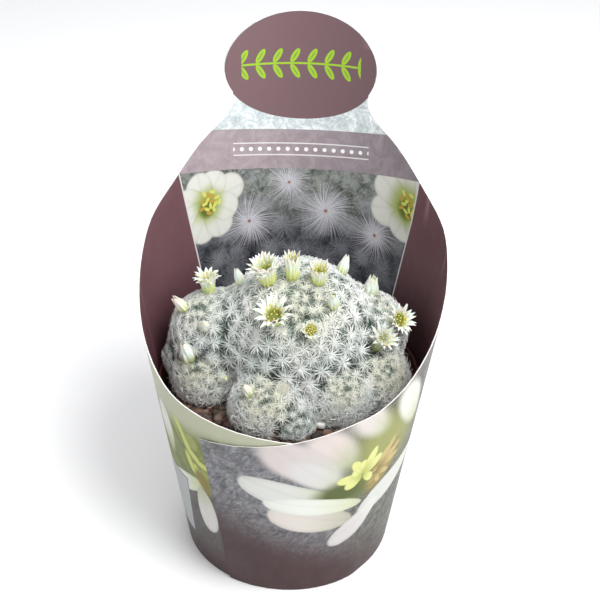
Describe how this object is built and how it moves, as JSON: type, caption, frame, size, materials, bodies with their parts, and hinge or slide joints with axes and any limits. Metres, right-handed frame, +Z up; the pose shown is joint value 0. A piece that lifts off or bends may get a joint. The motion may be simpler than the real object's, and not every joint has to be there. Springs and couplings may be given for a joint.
{
  "type": "potted feather cactus",
  "caption": "Clump of round feathery cactus stems with small pale flowers, in a plastic pot inside a tall-backed card sleeve.",
  "frame": {"origin": "centre of the pot's flat underside, on the surface it stands on", "axes": "+Z up; -Y is the front, where the sleeve is lowest; +Y is the back, under the tall header; +X is to the right seen from the front"},
  "size_m": [0.134, 0.1415, 0.2307],
  "materials": {
    "printed_card": "satin",
    "pot_plastic": "satin",
    "potting_soil": "matte",
    "gravel": "matte",
    "perlite": "matte",
    "root": "matte",
    "spined_stem": "matte",
    "petal": "satin",
    "stamen": "matte"
  },
  "bodies": {
    "root": {"bud_1": "petal", "bud_10": "petal", "bud_2": "petal", "bud_3": "petal", "bud_4": "petal", "bud_5": "petal", "bud_6": "petal", "bud_7": "petal", "bud_8": "petal", "bud_9": "petal", "flower_1_petals": "petal", "flower_1_stamens": "stamen", "flower_2_petals": "petal", "flower_2_stamens": "stamen", "flower_3_petals": "petal", "flower_3_stamens": "stamen", "flower_4_petals": "petal", "flower_4_stamens": "stamen", "flower_5_petals": "petal", "flower_5_stamens": "stamen", "flower_6_petals": "petal", "flower_6_stamens": "stamen", "flower_7_petals": "petal", "flower_7_stamens": "stamen", "flower_8_petals": "petal", "flower_8_stamens": "stamen", "gravel_topping": "gravel", "perlite_grain": "perlite", "pot": "pot_plastic", "roots": "root", "sleeve": "printed_card", "soil": "potting_soil", "stem_back_left": "spined_stem", "stem_back_right": "spined_stem", "stem_far_left": "spined_stem", "stem_front_left": "spined_stem", "stem_front_right": "spined_stem", "stem_left_low": "spined_stem", "stem_left_upper": "spined_stem", "stem_main": "spined_stem", "stem_right": "spined_stem", "stem_right_back": "spined_stem", "stem_small_front": "spined_stem"}
  },
  "joints": []
}
